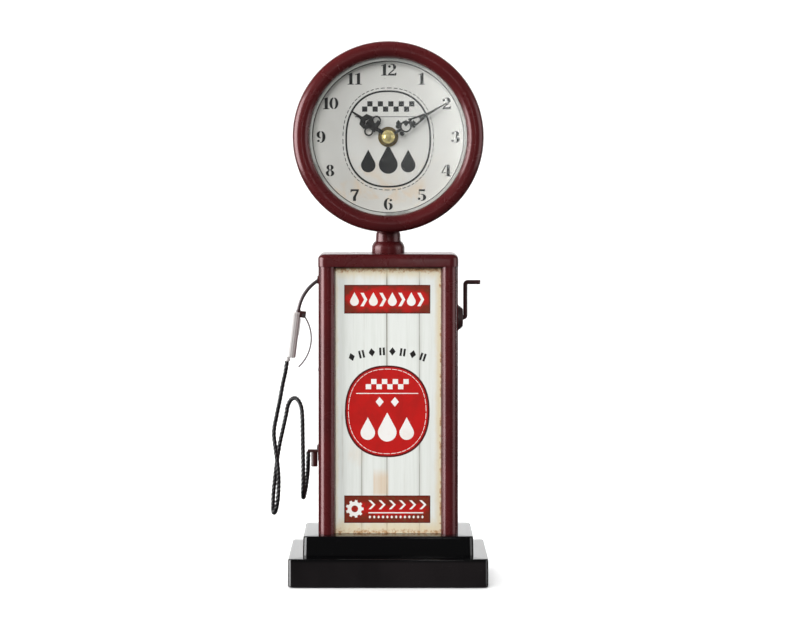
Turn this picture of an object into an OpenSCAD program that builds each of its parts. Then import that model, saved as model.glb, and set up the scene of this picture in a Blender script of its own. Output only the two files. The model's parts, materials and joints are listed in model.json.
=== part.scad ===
// Table clock in the shape of a vintage petrol pump: a round clock head on a sheet-metal cabinet
// with a two-step base, a side crank, and a dispensing nozzle with a short twisted hose.
// +Z is up, the front faces -Y, and the origin is the centre of the underside.

/* [Base] */
// Height of the plinth above the table
plinth_h = 18; // [14:0.5:24]
// Height of the upper step
step_h = 12.5; // [9:0.5:18]
// Side ledge of the step past the cabinet
step_out_x = 10; // [6:0.5:14]
// Front and back ledge of the step past the cabinet
step_out_y = 8; // [6:0.5:14]
// Side ledge of the plinth past the step
plinth_out_x = 9; // [6:0.5:16]
// Front and back ledge of the plinth past the step
plinth_out_y = 11.5; // [6:0.5:18]
// Thickness of the felt pad
felt_t = 1.4; // [1:0.1:3]

/* [Cabinet] */
// Width across the two front columns
cab_w = 86; // [72:1:110]
// Depth from the column fronts to the back of the sides
cab_d = 51; // [42:1:66]
// Height of the cabinet between the step and the cap
cab_h = 167.5; // [136:0.5:202]
// Radius of the half-round front columns
column_r = 4.9; // [4.2:0.1:8]
// How far the front panel lies behind the widest line of the columns
panel_set = 0.3; // [0.1:0.1:3]
// Thickness of the side sheets
side_t = 0.8; // [0.6:0.1:1.2]
// Thickness of the other pressed sheets
sheet_t = 1; // [0.8:0.1:1.4]
// Height of the top cap
cap_h = 8; // [6.5:0.5:14]

/* [Head] */
// Height of the neck from the cap to the drum
neck_h = 14.7; // [13:0.1:22]
// Outer diameter of the bezel ring
head_d = 120; // [100:1:146]
// Width of the half-round bezel bead
bezel_w = 10.7; // [9:0.1:13]
// Depth of the drum behind the dial
drum_depth = 22.2; // [20:0.1:32]
// How far the head axis plane sits in front of the neck axis
head_forward = 5; // [3.5:0.5:7]
// Gap between the dial and the glass
dial_gap = 8.5; // [8:0.1:11]
// Length of the minute hand
minute_len = 42.6; // [38:0.1:43]
// Length of the hour hand
hour_len = 28; // [27:0.1:33]

/* [Crank] */
// Depth of the crank axle below the cabinet top
crank_drop = 33; // [14:0.5:110]
// Throw from the axle to the grip
crank_throw = 22.5; // [16:0.5:26]
// Radius of the crank rod
crank_rod_r = 1.4; // [1:0.1:1.5]

/* [Nozzle] */
// Depth of the spout's entry below the cabinet top
spout_drop = 9; // [6:0.5:14]
// Radius of the spout's bend
spout_bend_r = 27; // [24:0.5:32]
// Radius of the nozzle barrel
barrel_r = 3.5; // [3:0.1:4.2]
// Length of the nozzle barrel
barrel_len = 28.6; // [24:0.2:34]
// Radius of the hose
hose_r = 1.4; // [1:0.05:1.6]
// Height of the hose outlet's arm above the cabinet foot
outlet_up = 49.9; // [30:0.1:80]

/* [Hidden] */
$fn = 64;

// Levels and outlines of the base and cabinet
cab_z = plinth_h + step_h;
cab_top = cab_z + cab_h;
cap_top = cab_top + cap_h;
step_w = cab_w + 2 * step_out_x;
step_d = cab_d + 2 * step_out_y;
plinth_w = step_w + 2 * plinth_out_x;
plinth_d = step_d + 2 * plinth_out_y;
pan_t = 1.2;
pan_lift = 0.5;
plate_t = 1.2;
fit_gap = 0.4;
hole_gap = 0.06;
felt_inset = 3.5;
base_corner = 3;
step_corner = 4;
plinth_edge = 0.9;
step_edge = 1.2;
step_draft = 0.3;
side_x = cab_w / 2 + side_t;
column_x = cab_w / 2 - column_r;
column_y = -cab_d / 2 + column_r;
panel_y = column_y + panel_set;
panel_t = 0.8;
panel_gap = 0.15;
landing_w = 5;
landing_y = panel_set + panel_t;
flange_len = 7;
side_corner = 2.6;
back_lip = 9;
side_front_y = column_y + 0.8;
back_t = 0.8;
back_screw_up = 16;
back_screw_down = 20;
back_screw_r = 1;
dot_up = 101.5;
rivet_r = 0.8;
screw_r = 1.5;
screw_head_r = 2.8;
screw_head_h = 1.8;
screw_past = 1.5;
tie_x = cab_w / 2 - 14;
tie_y = cab_d / 2 - 11.5;
inner_w = cab_w - 2 * sheet_t;
inner_back = cab_d / 2 - side_t - fit_gap;
inner_front = panel_y + panel_t + sheet_t + fit_gap;
cap_over = 0.3;
cap_corner = 5.6;
cap_edge = 3.4;
cap_clear = 0.1;
roof_z = cab_top - 0.4 - sheet_t;

// The head: its own frame has x to the right, y up, and z towards the front
head_r = head_d / 2;
drum_r = head_r - sheet_t - 0.1;
head_z = cap_top + neck_h + drum_r;
bead_r = bezel_w / 2;
bead_at = head_r - bead_r;
glass_t = 2;
dial_t = 0.8;
dial_front = 7;
dial_back = dial_front - dial_t;
glass_back = dial_front + dial_gap;
glass_front = glass_back + glass_t;
lens_cover = 0.85;
bead_z = glass_front - lens_cover;
opening_r = bead_at - sqrt(bead_r * bead_r - lens_cover * lens_cover);
glass_r = opening_r + 2.2;
skirt_back = dial_back - 2.2;
shell_lip_r = opening_r + 3;
spacer_shows = 1.4;
drum_back = dial_back - drum_depth;
cover_t = 1;
cover_r = drum_r - 2;
window = 60;
cover_screw_at = drum_r - 5.5;
cover_screw_r = 1.2;

// The neck
stud_r = 3;
nut_af_r = 5.5;
nut_h = 4;
cup_t = 0.8;
cup_split = 7.3;
lower_cup = [10.4, 10.5, 8.7];
upper_cup = [8.1, 7.9, 5.9];

// The quartz movement, a standard 56 mm block
case_w = 56;
case_front = dial_back - 1;
case_wall = 1.2;
case_face_t = 1;
case_split = -2;
case_back = -11;
case_corner = 5;
bay_top = -10.6;
bush_r = 4;
bush_front = 9.9;
hour_tube_r = 2.5;
hour_tube_in = 1.58;
bush_in = 2.56;
arbor_r = 1.5;
small_arbor_r = 0.8;
run = 0.06;
cell_r = 7.15;
cell_len = 49.3;
cell_gap = 0.3;
cell_y = bay_top - 0.4 - cell_r;
cell_depth = case_front - case_face_t - cell_gap - cell_r;
plate_front = -3;
plate_back = -4;
stator_front = -4.6;
stator_t = 0.8;
coil_y = 22;

// The motion work: both pairs have one centre distance
cannon_z = 12;
motion_z = 36;
motion_pinion_z = 10;
hour_z = 40;
gear_distance = 9.6;
minute_m = 2 * gear_distance / (cannon_z + motion_z);
hour_m = 2 * gear_distance / (motion_pinion_z + hour_z);
motion_at = 50;
motion_x = gear_distance * cos(motion_at);
motion_y = gear_distance * sin(motion_at);
knob_y = 2 * motion_y;
third_m = 0.3;
centre_z = 52;
third_pinion_z = 8;
third_x = -third_m * (centre_z + third_pinion_z) / 2;
rotor_m = 0.25;
third_z = 48;
rotor_z = 8;
rotor_at = 150;
rotor_x = third_x + rotor_m * (third_z + rotor_z) / 2 * cos(rotor_at);
rotor_y = rotor_m * (third_z + rotor_z) / 2 * sin(rotor_at);
hour_level = glass_back - 5.3;
minute_level = glass_back - 3.7;
hand_t = 0.6;
hour_turn = 305;
minute_turn = 60;
washer_t = 0.5;
cap_nut_r = 4.2;
cap_nut_h = 2.4;

// The crank
crank_z = cab_top - crank_drop;
boss_r = 8.2;
boss_h = 3.6;
rod_bend = crank_rod_r + 0.2;
riser_x = side_x + boss_h + rod_bend;
grip_end = riser_x + 9.5;

// The nozzle: its frame has its origin at the spout's end and z up the barrel
spout_r = 1.1;
collar_r = 1.4;
collar_in = 3.2;
spout_from = 210;
spout_to = 263;
spout_z = cab_top - spout_drop;
bend_cx = -side_x - spout_bend_r * sin(spout_from);
bend_cz = spout_z + spout_bend_r * cos(spout_from);
nozzle_x = bend_cx + spout_bend_r * sin(spout_to);
nozzle_z = bend_cz - spout_bend_r * cos(spout_to);
nozzle_tilt = 270 - spout_to;
barrel_x = -barrel_r / 2;
barrel_top = -0.6;
ferrule_x = barrel_x - 1.5;
ferrule_r = 1.9;
ferrule_len = 2.6;
pin_x = barrel_x + barrel_r + 1.9;
pin_z = -2;
pin_r = 0.6;
lever_bend_r = 24.6;
lever_from = 43.5;
lever_to = -40.5;
lever_t = 0.9;
lever_w = 2;
eye_r = 1.4;

// The hose outlet
outlet_z = cab_z + outlet_up;
arm_t = 1.6;
arm_len = 7.3;
arm_w = 4.8;
outlet_barrel_r = 2;
outlet_barrel_out = 3.1;
outlet_barrel_down = 9.2;
outlet_flange_t = 0.8;

// The hose's route from the outlet to the nozzle
HOSE = [
    [-50.7, 0, 79.9], [-50.9, 0.6, 74], [-51.2, 4.2, 67.5], [-51.9, 7.6, 61], [-52.7, 6.4, 55],
    [-53.3, 2.6, 52], [-53.7, -2, 51], [-53.8, -6.6, 52], [-53.8, -10.4, 55], [-53.6, -12, 61],
    [-53.6, -12, 72], [-53.8, -12, 83], [-54, -11.8, 94], [-54.2, -11.3, 103],
    [-54.8, -10, 108.5], [-56.6, -6.4, 112.5], [-59.2, -1.5, 114], [-61.9, 3.4, 112.5],
    [-64, 7, 108.5], [-65.1, 8.6, 103], [-67.1, 9.4, 94], [-69.5, 10, 83], [-71.2, 10, 72],
    [-72.5, 10, 61], [-73.4, 10, 51], [-73.5, 8.4, 45], [-73.3, 4.6, 42], [-72.7, 0, 41],
    [-71.8, -4.6, 42], [-70.7, -8.4, 45], [-69.7, -10, 51], [-69.2, -10, 61], [-69.8, -9.6, 72],
    [-71.3, -8.8, 83], [-72.3, -7.2, 93], [-70.7, -5, 103], [-68.7, -2.8, 113], [-66.9, -1.2, 123],
    [-65.2, -0.2, 131], [-64.2, 0, 137.8]];
hose_sides = 8;

module maroon() color([0.42, 0.13, 0.14]) children();
module gloss_black() color([0.06, 0.06, 0.07]) children();
module steel() color([0.72, 0.73, 0.75]) children();
module brass() color([0.78, 0.62, 0.3]) children();
module plastic_black() color([0.13, 0.13, 0.14]) children();

module at_head() translate([0, -head_forward, head_z]) rotate([90, 0, 0]) children();
module at_nozzle() translate([nozzle_x, 0, nozzle_z]) rotate([0, nozzle_tilt, 0]) children();
module across() rotate([90, 0, 0]) children();

module rounded_rect(w, d, r) {
    square([w - 2 * r, d], center = true);
    square([w, d - 2 * r], center = true);
    for (x = [-1, 1], y = [-1, 1]) translate([x * (w / 2 - r), y * (d / 2 - r)]) circle(r);
}

// A block with rounded upright corners, a rounded top edge and a slight draft to its sides
module soft_block(w, d, h, corner, edge, draft = 0) {
    hull() for (x = [-1, 1], y = [-1, 1]) {
        translate([x * (w / 2 - corner + draft), y * (d / 2 - corner + draft), 0])
            cylinder(r = corner, h = 0.1, $fn = 40);
        translate([x * (w / 2 - corner), y * (d / 2 - corner), h - edge])
            rotate_extrude($fn = 40) intersection() {
                translate([corner - edge, 0]) circle(edge, $fn = 24);
                translate([0, -edge]) square(corner + edge);
            }
    }
}

module tube(r_out, r_in, h) {
    difference() {
        cylinder(r = r_out, h = h);
        translate([0, 0, -1]) cylinder(r = r_in, h = h + 2);
    }
}

module tie_points() for (x = [-tie_x, tie_x], y = [-tie_y, tie_y]) translate([x, y, 0]) children();

// ---- Base ----
module felt_pad() color([0.12, 0.12, 0.12])
    linear_extrude(felt_t) rounded_rect(plinth_w - 2 * felt_inset, plinth_d - 2 * felt_inset, base_corner);

module base_plate() color([0.25, 0.25, 0.26])
    translate([0, 0, felt_t]) linear_extrude(plate_t)
        rounded_rect(plinth_w - 2 * (pan_t + fit_gap), plinth_d - 2 * (pan_t + fit_gap), base_corner);

module plinth_pan() gloss_black() difference() {
    translate([0, 0, pan_lift])
        soft_block(plinth_w, plinth_d, plinth_h - pan_lift, base_corner, plinth_edge);
    translate([0, 0, -1]) soft_block(plinth_w - 2 * pan_t, plinth_d - 2 * pan_t,
        plinth_h - pan_t + 1, base_corner - pan_t, plinth_edge / 2);
    tie_points() cylinder(r = screw_r + hole_gap, h = plinth_h + 1);
}

module step_pan() gloss_black() difference() {
    translate([0, 0, plinth_h])
        soft_block(step_w, step_d, step_h, step_corner, step_edge, step_draft);
    translate([0, 0, plinth_h - 1]) soft_block(step_w - 2 * pan_t, step_d - 2 * pan_t,
        step_h - pan_t + 1, step_corner - pan_t, step_edge / 2);
    tie_points() cylinder(r = screw_r + hole_gap, h = cab_z + 1);
}

module tie_screws() steel() tie_points() {
    translate([0, 0, plinth_h - pan_t - screw_head_h]) cylinder(r = screw_head_r, h = screw_head_h);
    translate([0, 0, plinth_h - pan_t]) cylinder(r = screw_r, h = pan_t + step_h + sheet_t + screw_past);
}

// ---- Cabinet ----
module inner_plate(z) translate([-inner_w / 2 + fit_gap, inner_front, z])
    cube([inner_w - 2 * fit_gap, inner_back - inner_front, sheet_t]);

module cabinet_floor() maroon() difference() {
    inner_plate(cab_z);
    tie_points() cylinder(r = screw_r + hole_gap, h = cab_z + sheet_t + 1);
}

module cabinet_roof() maroon() difference() {
    inner_plate(roof_z);
    translate([0, 0, roof_z - 1]) cylinder(r = stud_r + hole_gap, h = sheet_t + 2);
}

// Plan of both side sheets: outer skin, cut open at the front and between the back lips
module side_plan() difference() {
    rounded_rect(cab_w + 2 * side_t, cab_d, side_corner);
    rounded_rect(cab_w, cab_d - 2 * side_t, side_corner - side_t);
    translate([-cab_w, -cab_d]) square([2 * cab_w, cab_d + side_front_y]);
    translate([-cab_w / 2 + back_lip, 0]) square([cab_w - 2 * back_lip, cab_d]);
}

module side_sheet(s) translate([0, 0, cab_z]) linear_extrude(cab_h) intersection() {
    side_plan();
    translate([s < 0 ? -cab_w : 0, -cab_d]) square([cab_w, 2 * cab_d]);
}

module back_screw_points() for (x = [-1, 1], z = [cab_z + back_screw_up, cab_top - back_screw_down])
    translate([x * (cab_w / 2 - back_lip / 2 - 1), cab_d / 2 - 3, z]) rotate([-90, 0, 0]) children();

module side_left() maroon() difference() {
    side_sheet(-1);
    back_screw_points() cylinder(r = back_screw_r + hole_gap, h = 8);
    translate([-cab_w / 2 - 3, 0, spout_z]) rotate([0, 90, 0]) cylinder(r = collar_r + 0.8, h = 5);
    rivet_points() translate([0, 0, -2]) cylinder(r = rivet_r + hole_gap, h = 5);
    dot_point() translate([0, 0, -2]) cylinder(r = rivet_r + hole_gap, h = 5);
}

module side_right() maroon() difference() {
    side_sheet(1);
    back_screw_points() cylinder(r = back_screw_r + hole_gap, h = 8);
    translate([cab_w / 2 - 2, 0, crank_z]) rotate([0, 90, 0])
        cylinder(r = crank_rod_r + run, h = 5);
}

// A half-round bead with a flange inside the side sheet and a landing behind the panel
module column_plan() {
    difference() {
        circle(column_r);
        circle(column_r - sheet_t);
        translate([-10, 0]) square([20, 10]);
    }
    translate([-column_r, 0]) square([sheet_t, flange_len]);
    translate([column_r - sheet_t, 0]) square([sheet_t, landing_y + sheet_t]);
    translate([column_r - sheet_t, landing_y]) square([landing_w, sheet_t]);
}

module column(s) translate([s * -column_x, column_y, cab_z]) mirror([s < 0 ? 1 : 0, 0, 0])
    linear_extrude(cab_h) column_plan();

module column_left() maroon() column(1);
module column_right() maroon() column(-1);

module front_panel() color([0.9, 0.87, 0.8])
    translate([-column_x + column_r + panel_gap, panel_y, cab_z + panel_gap])
        cube([2 * (column_x - column_r - panel_gap), panel_t, cab_h - 2 * panel_gap]);

module back_panel() maroon() difference() {
    translate([-cab_w / 2 + 1.5, cab_d / 2, cab_z + 2]) cube([cab_w - 3, back_t, cab_h - 4]);
    back_screw_points() cylinder(r = back_screw_r + hole_gap, h = 8);
}

module back_panel_screws() steel() back_screw_points() {
    translate([0, 0, 3 + back_t - 4]) cylinder(r = back_screw_r, h = 4);
    translate([0, 0, 3 + back_t]) cylinder(r1 = 2.2, r2 = 1.5, h = 1.2);
}

module top_cap() maroon() translate([0, back_t / 2, 0]) difference() {
    translate([0, 0, cab_top]) soft_block(2 * (side_x + cap_over),
        cab_d + back_t + 2 * (cap_over + cap_clear), cap_h, cap_corner, cap_edge);
    translate([0, 0, cab_top - 1]) soft_block(2 * (side_x + cap_over - sheet_t),
        cab_d + back_t + 2 * (cap_over + cap_clear - sheet_t), cap_h - sheet_t + 1,
        cap_corner - sheet_t, cap_edge - sheet_t);
    translate([0, -back_t / 2, cab_top]) cylinder(r = stud_r + hole_gap, h = cap_h + 1);
}

// ---- Neck ----
// A pressed cup with a soft bulge; radii are those of its foot, its widest line and its top
module cup(radii, h) {
    steps = 12;
    wide_at = 0.4;
    function rad(t) = t < wide_at
        ? radii[1] - (radii[1] - radii[0]) * pow(1 - t / wide_at, 2)
        : radii[1] - (radii[1] - radii[2]) * pow((t - wide_at) / (1 - wide_at), 2);
    rotate_extrude() difference() {
        polygon(concat([[stud_r + hole_gap, 0]],
            [for (i = [0:steps]) [rad(i / steps), h * i / steps]], [[stud_r + hole_gap, h]]));
        polygon(concat([[0, -1], [radii[0] - cup_t, -1]],
            [for (i = [0:steps - 1]) [rad(i / steps) - cup_t, (h - cup_t) * i / (steps - 1)]],
            [[0, h - cup_t]]));
    }
}

module neck_cup_lower() maroon() translate([0, 0, cap_top]) cup(lower_cup, cup_split);

module neck_cup_upper() maroon() difference() {
    translate([0, 0, cap_top + cup_split]) cup(upper_cup, neck_h - cup_split + 1.2);
    at_head() cylinder(r = drum_r + 0.02, h = 60, center = true, $fn = 128);
}

module neck_stud() steel()
    translate([0, 0, roof_z - nut_h - 1]) cylinder(r = stud_r, h = cap_top + neck_h - roof_z + 12);

module neck_nuts() steel() {
    for (z = [roof_z - nut_h, cap_top + neck_h + sheet_t + 0.35]) translate([0, 0, z]) difference() {
        cylinder(r = nut_af_r, h = nut_h, $fn = 6);
        translate([0, 0, -1]) cylinder(r = stud_r, h = nut_h + 2);
    }
}

// ---- Head ----
module drum_shell() maroon() difference() {
    at_head() rotate_extrude($fn = 128) polygon([
        [shell_lip_r, dial_back], [drum_r, dial_back], [drum_r, drum_back],
        [opening_r, drum_back], [opening_r, drum_back + sheet_t],
        [drum_r - sheet_t, drum_back + sheet_t], [drum_r - sheet_t, dial_back - sheet_t],
        [shell_lip_r, dial_back - sheet_t]]);
    translate([0, 0, cap_top]) cylinder(r = stud_r + hole_gap, h = neck_h + 10);
    cover_screw_points() cylinder(r = cover_screw_r, h = 10, center = true);
}

module bezel_ring() maroon() at_head() rotate_extrude($fn = 128) difference() {
    union() {
        translate([bead_at, bead_z]) circle(bead_r);
        translate([head_r - sheet_t, skirt_back]) square([sheet_t, bead_z - skirt_back]);
    }
    translate([bead_at, bead_z]) circle(bead_r - sheet_t);
    translate([0, 0]) square([bead_at, glass_front]);
    translate([0, 0]) square([head_r - sheet_t, bead_z]);
}

module glass_lens() color([0.85, 0.9, 0.92, 0.35])
    at_head() translate([0, 0, glass_back]) cylinder(r = glass_r, h = glass_t, $fn = 128);

module dial_spacer() color([0.85, 0.85, 0.83]) at_head() translate([0, 0, dial_front])
    tube(shell_lip_r + 0.5, opening_r - spacer_shows, dial_gap);

module dial_plate() color([0.93, 0.9, 0.84]) at_head() translate([0, 0, dial_back])
    tube(drum_r - 1.5, bush_r + 0.15, dial_t);

module cover_screw_points() at_head() for (a = [45:90:359])
    rotate([0, 0, a]) translate([cover_screw_at, 0, drum_back - cover_t]) children();

module back_cover() maroon() difference() {
    at_head() translate([0, 0, drum_back - cover_t]) difference() {
        cylinder(r = cover_r, h = cover_t);
        translate([-window / 2, -window / 2, -1]) cube([window, window, cover_t + 2]);
    }
    cover_screw_points() cylinder(r = cover_screw_r, h = 10, center = true);
}

module cover_screws() steel() cover_screw_points() {
    cylinder(r = cover_screw_r, h = 5);
    translate([0, 0, -1.3]) cylinder(r1 = 1.8, r2 = 2.5, h = 1.3);
}

// ---- Hands ----
module hour_hand_plan() difference() {
    union() {
        circle(4.1);
        translate([-1.2, 2]) square([2.4, 9]);
        for (s = [-1, 1]) {
            translate([s * 4.3, 12]) difference() {
                circle(2.9);
                circle(1.9);
            }
            polygon([[0, 8.4], [s * 2.6, 8.9], [s * 2.2, 12.4], [s * 4.8, 15.6],
                [s * 3.3, 15.9], [0, 16.6]]);
        }
        polygon([[-4.8, 15.6], [-3.2, 15.6], [0, 17.4], [3.2, 15.6], [4.8, 15.6], [4, 19.4],
            [1, 20.6], [0.45, hour_len], [-0.45, hour_len], [-1, 20.6], [-4, 19.4]]);
    }
    circle(hour_tube_r);
    translate([0, 13.6]) circle(0.9);
}

module minute_hand_plan() difference() {
    union() {
        circle(3.7);
        translate([-0.9, 2]) square([1.8, 7.6]);
        translate([0, 12.8]) difference() {
            circle(3.7);
            circle(2.7);
        }
        for (s = [-1, 1]) translate([s * 2.6, 8.6]) circle(1.5);
        polygon([[0, 15.4], [3.6, 16.6], [2.9, 18.6], [1.9, 24], [0.9, 27.5],
            [0.28, minute_len], [-0.28, minute_len],
            [-0.9, 27.5], [-1.9, 24], [-2.9, 18.6], [-3.6, 16.6]]);
        translate([0, 25.4]) circle(1.9);
    }
    circle(arbor_r);
    polygon([[0, 17], [1.8, 18.2], [0.9, 22.8], [-0.9, 22.8], [-1.8, 18.2]]);
}

module hour_hand() color([0.05, 0.05, 0.05]) at_head() translate([0, 0, hour_level])
    rotate([0, 0, -hour_turn]) linear_extrude(hand_t) hour_hand_plan();

module minute_hand() color([0.05, 0.05, 0.05]) at_head() translate([0, 0, minute_level])
    rotate([0, 0, -minute_turn]) linear_extrude(hand_t) minute_hand_plan();

module cap_nut() brass() at_head() translate([0, 0, minute_level + hand_t]) difference() {
    union() {
        cylinder(r = cap_nut_r, h = 0.5);
        let (dome_r = (pow(cap_nut_r - 0.4, 2) + pow(cap_nut_h, 2)) / 2 / cap_nut_h)
            rotate_extrude() intersection() {
                translate([0, cap_nut_h - dome_r]) circle(dome_r);
                square([cap_nut_r - 0.4, cap_nut_h]);
            }
    }
    translate([0, 0, -1]) cylinder(r = arbor_r, h = 2);
}

module mounting_nut() brass() at_head() translate([0, 0, dial_front + washer_t]) difference() {
    union() {
        cylinder(r = 5.9, h = 1.4, $fn = 6);
        cylinder(r = 4.9, h = 2.2);
    }
    translate([0, 0, -1]) cylinder(r = bush_r, h = 4);
}

module mounting_washer() brass() at_head() translate([0, 0, dial_front]) tube(6.4, bush_r, washer_t);
module rubber_washer() plastic_black() at_head() translate([0, 0, case_front])
    tube(9, bush_r, dial_back - case_front);

// ---- Movement ----
// Straight-flanked teeth, thin enough to run with backlash; the first tooth points along x
function gear_points(z, m) = let (p = 360 / z, r = z * m / 2, tip = r + 0.85 * m, root = r - 1.25 * m)
    [for (i = [0:z - 1], k = [[-0.27, root], [-0.1, tip], [0.1, tip], [0.27, root]])
        k[1] * [cos((i + k[0]) * p), sin((i + k[0]) * p)]];

module gear(z, m, from, to, turn = 0) translate([0, 0, from]) rotate([0, 0, turn])
    linear_extrude(to - from) polygon(gear_points(z, m));

module case_box(from, to) translate([0, 0, from])
    linear_extrude(to - from) rounded_rect(case_w, case_w, case_corner);

module case_hollow(from, to) {
    half = case_w / 2 - case_wall;
    translate([-half + 2, bay_top + 1, from]) cube([2 * half - 4, half - bay_top - 1 - 2, to - from]);
    translate([-half, bay_top + 1, from]) cube([2 * half, half - bay_top - 1 - 4.5, to - from]);
}

module cell_bay(from, to) {
    half = case_w / 2 - case_wall;
    low_half = cell_len / 2 + 2 * cell_gap;
    translate([-half, -half + 4, from]) cube([2 * half, bay_top + half - 4, to - from]);
    translate([-low_half, -half, from]) cube([2 * low_half, 5, to - from]);
}

module movement_front() plastic_black() at_head() difference() {
    union() {
        case_box(case_split, case_front);
        cylinder(r = bush_r, h = bush_front);
    }
    case_hollow(case_split - 1, case_front - case_face_t);
    cell_bay(case_split - 1, case_front - case_face_t);
    cylinder(r = bush_in, h = bush_front + 1);
    for (p = [[motion_x, motion_y], [third_x, 0]]) translate([p[0], p[1], 0])
        cylinder(r = small_arbor_r + run, h = case_front - 0.3);
}

module movement_back() plastic_black() at_head() difference() {
    case_box(case_back, case_split);
    case_hollow(case_back + case_wall, case_split + 1);
    cell_bay(case_back - 1, case_split + 1);
    translate([0, knob_y, case_back - 1]) cylinder(r = arbor_r + run, h = 5);
}

module movement_plate() brass() at_head() translate([0, 0, plate_back]) difference() {
    translate([-19, -9, 0]) cube([33, 27, plate_front - plate_back]);
    for (p = [[0, 0, arbor_r + run], [motion_x, motion_y, small_arbor_r + run],
        [0, knob_y, arbor_r + run], [third_x, 0, 0.5], [rotor_x, rotor_y, 0.6]])
        translate([p[0], p[1], -1]) cylinder(r = p[2], h = 3);
}

module hour_wheel() brass() at_head() difference() {
    union() {
        gear(hour_z, hour_m, 2.9, 3.8, motion_at + 180 / hour_z);
        translate([0, 0, 2.9]) cylinder(r = hour_tube_r, h = hour_level + hand_t + 0.2 - 2.9);
    }
    translate([0, 0, 2]) cylinder(r = hour_tube_in, h = 20);
}

module centre_pinion() brass() at_head() {
    translate([0, 0, plate_back]) cylinder(r = arbor_r, h = minute_level + hand_t + 0.9 - plate_back);
    gear(cannon_z, minute_m, 0.8, 2.2, motion_at);
}

module motion_wheel() brass() at_head() translate([motion_x, motion_y, 0]) {
    gear(motion_z, minute_m, 1.1, 1.9, motion_at + 180 + 180 / motion_z);
    gear(motion_pinion_z, hour_m, 1.8, 4, motion_at + 180);
    translate([0, 0, plate_back]) cylinder(r = small_arbor_r, h = 4.7 - plate_back);
}

module set_knob() plastic_black() at_head() translate([0, knob_y, 0]) {
    gear(cannon_z, minute_m, 0.8, 2.2, -motion_at);
    translate([0, 0, case_back - 1]) cylinder(r = arbor_r, h = 3.4 - case_back);
    translate([0, 0, case_back - 4.2]) difference() {
        cylinder(r = 6, h = 3.7);
        for (a = [0:15:359]) rotate([0, 0, a]) translate([6.25, 0, -1]) cylinder(r = 0.5, h = 6, $fn = 16);
    }
}

module centre_wheel() brass() at_head() difference() {
    gear(centre_z, third_m, -0.8, 0);
    translate([0, 0, -2]) cylinder(r = arbor_r + run, h = 4);
}

module third_wheel() color([0.9, 0.9, 0.88]) at_head() translate([third_x, 0, 0]) {
    gear(third_pinion_z, third_m, -1.4, 0.1, 180 / third_pinion_z);
    gear(third_z, rotor_m, -1.9, -1.2, rotor_at);
    translate([0, 0, plate_back]) cylinder(r = 0.5, h = 4.6 - plate_back);
}

module step_rotor() color([0.3, 0.3, 0.32]) at_head() translate([rotor_x, rotor_y, 0]) {
    gear(rotor_z, rotor_m, -2.2, -1, rotor_at + 180 / rotor_z);
    translate([0, 0, -9]) cylinder(r = 0.5, h = 8.2);
    translate([0, 0, -7.4]) cylinder(r = 3, h = 2.8);
}

module stator() steel() at_head() translate([0, 0, stator_front - stator_t]) linear_extrude(stator_t)
    difference() {
        union() {
            translate([-24, -3]) square([20, 12]);
            translate([-24, 6]) square([3, coil_y - 4.9]);
            translate([-7, 6]) square([3, coil_y - 4.9]);
            translate([-23, coil_y - 1.1]) square([18, 2.2]);
        }
        translate([rotor_x, rotor_y]) circle(3.4);
    }

module coil() color([0.65, 0.3, 0.15]) at_head()
    translate([-20.4, coil_y, stator_front - stator_t / 2]) difference() {
        rotate([0, 90, 0]) union() {
            cylinder(r = 2.2, h = 12.8);
            cylinder(r = 2.8, h = 0.6);
            translate([0, 0, 12.2]) cylinder(r = 2.8, h = 0.6);
        }
        translate([-1, -1.2, -0.5]) cube([16, 2.4, 1]);
    }

module circuit_board() color([0.1, 0.35, 0.2]) at_head() {
    translate([4, -6, -5.8]) cube([20, 23, 0.8]);
    translate([15, 4, -7]) cylinder(r1 = 2.4, r2 = 3.4, h = 1.2);
}

module battery() color([0.75, 0.6, 0.25]) at_head()
    translate([-cell_len / 2 - cell_gap, cell_y, cell_depth]) rotate([0, 90, 0]) {
        cylinder(r = cell_r, h = cell_len);
        translate([0, 0, cell_len]) cylinder(r = 2.75, h = 1.2);
    }

module battery_contacts() steel() at_head()
    for (x = [-cell_len / 2 - 0.8, cell_len / 2 + 0.9])
        translate([x, cell_y - 4.5, cell_depth - 4.5]) cube([0.5, 9, 9]);

// ---- Crank ----
module crank_boss() color([0.2, 0.07, 0.07]) translate([side_x, 0, crank_z]) rotate([0, 90, 0])
    rotate_extrude() polygon([[crank_rod_r + run, 0], [boss_r, 0], [boss_r, 0.8], [7.5, 1.3], [7.3, 2],
        [6.6, 2.4], [6.3, 3.1], [5.4, boss_h], [crank_rod_r + run, boss_h]]);

// A bent rod: axle through the side, riser, and grip
module crank_handle() color([0.22, 0.2, 0.22]) translate([0, 0, crank_z]) {
    corner = riser_x - rod_bend;
    translate([cab_w / 2 - 3, 0, 0]) rotate([0, 90, 0])
        cylinder(r = crank_rod_r, h = corner - cab_w / 2 + 3);
    translate([corner, 0, rod_bend]) across() rotate([0, 0, -90]) rotate_extrude(angle = 90)
        translate([rod_bend, 0]) circle(crank_rod_r);
    translate([riser_x, 0, rod_bend]) cylinder(r = crank_rod_r, h = crank_throw - 2 * rod_bend);
    translate([riser_x + rod_bend, 0, crank_throw - rod_bend]) across() rotate([0, 0, 90])
        rotate_extrude(angle = 90) translate([rod_bend, 0]) circle(crank_rod_r);
    translate([riser_x + rod_bend, 0, crank_throw]) rotate([0, 90, 0])
        cylinder(r = crank_rod_r, h = grip_end - riser_x - rod_bend);
}

module crank_push_nut() steel() translate([cab_w / 2 - 1.5, 0, crank_z]) rotate([0, 90, 0])
    tube(3, crank_rod_r, 0.9);

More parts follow.
